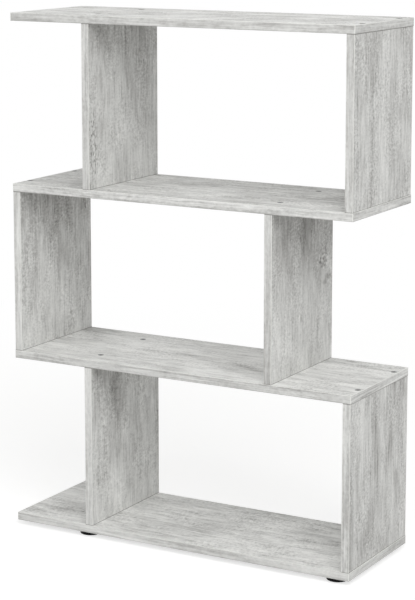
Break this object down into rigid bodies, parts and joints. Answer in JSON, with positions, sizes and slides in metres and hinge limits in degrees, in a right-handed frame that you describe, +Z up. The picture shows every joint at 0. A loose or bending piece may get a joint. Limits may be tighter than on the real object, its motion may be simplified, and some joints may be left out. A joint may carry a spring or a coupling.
{
  "type": "room divider bookcase",
  "caption": "Open S-shaped room divider bookcase: long shelves held apart by uprights that step in and out from row to row, with no back, on low round feet.",
  "frame": {"origin": "on the floor, under the middle of the unit", "axes": "+X along the shelves, to the right seen from the front; +Y from front to back; +Z up"},
  "size_m": [0.7, 0.24, 0.975],
  "materials": {
    "grey_wood_decor": "melamine-faced chipboard with a weathered, whitewashed grey wood decor, matt",
    "decor_edging": "glued edge strip printed with the boards' grey wood decor, matt",
    "screw_steel": "zinc-plated steel, dulled",
    "dowel_wood": "plain beech",
    "foot_plastic": "moulded black plastic with a fine matt texture"
  },
  "bodies": {
    "root": {"bottom_shelf": "grey_wood_decor", "bottom_shelf_edging": "decor_edging", "lower_shelf": "grey_wood_decor", "lower_shelf_edging": "decor_edging", "upper_shelf": "grey_wood_decor", "upper_shelf_edging": "decor_edging", "top_shelf": "grey_wood_decor", "top_shelf_edging": "decor_edging", "lower_left_upright": "grey_wood_decor", "lower_left_upright_edging": "decor_edging", "lower_right_upright": "grey_wood_decor", "lower_right_upright_edging": "decor_edging", "middle_left_upright": "grey_wood_decor", "middle_left_upright_edging": "decor_edging", "middle_right_upright": "grey_wood_decor", "middle_right_upright_edging": "decor_edging", "upper_left_upright": "grey_wood_decor", "upper_left_upright_edging": "decor_edging", "upper_right_upright": "grey_wood_decor", "upper_right_upright_edging": "decor_edging", "lower_left_upright_screws": "screw_steel", "lower_left_upright_dowels": "dowel_wood", "lower_right_upright_screws": "screw_steel", "lower_right_upright_dowels": "dowel_wood", "middle_left_upright_screws": "screw_steel", "middle_left_upright_dowels": "dowel_wood", "middle_right_upright_screws": "screw_steel", "middle_right_upright_dowels": "dowel_wood", "upper_left_upright_screws": "screw_steel", "upper_left_upright_dowels": "dowel_wood", "upper_right_upright_screws": "screw_steel", "upper_right_upright_dowels": "dowel_wood", "front_left_foot": "foot_plastic", "front_right_foot": "foot_plastic", "back_left_foot": "foot_plastic", "back_right_foot": "foot_plastic", "foot_screws": "screw_steel"}
  },
  "joints": []
}
